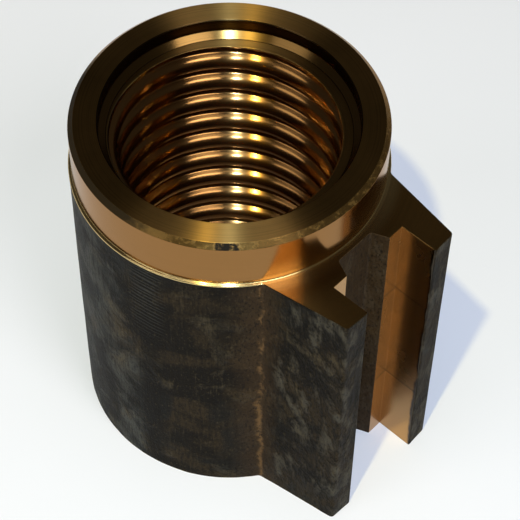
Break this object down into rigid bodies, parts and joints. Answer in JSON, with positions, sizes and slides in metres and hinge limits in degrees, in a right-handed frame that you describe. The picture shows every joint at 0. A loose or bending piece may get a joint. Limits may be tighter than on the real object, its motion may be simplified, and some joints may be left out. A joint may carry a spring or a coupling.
{
  "type": "safety nut",
  "caption": "Bronze safety nut for a lifting screw: a threaded barrel with a turned collar and a forked key that stops it turning.",
  "frame": {"origin": "on the bore's axis, at the plain end's face, on which the part stands", "axes": "+Z along the bore towards the turned collar, +X towards the fork"},
  "size_m": [0.0736, 0.0612, 0.08],
  "materials": {
    "bronze": "dark cast skin outside, turned and milled bright at the collar, thread and fork"
  },
  "bodies": {
    "root": {"safety_nut": "bronze"}
  },
  "joints": []
}
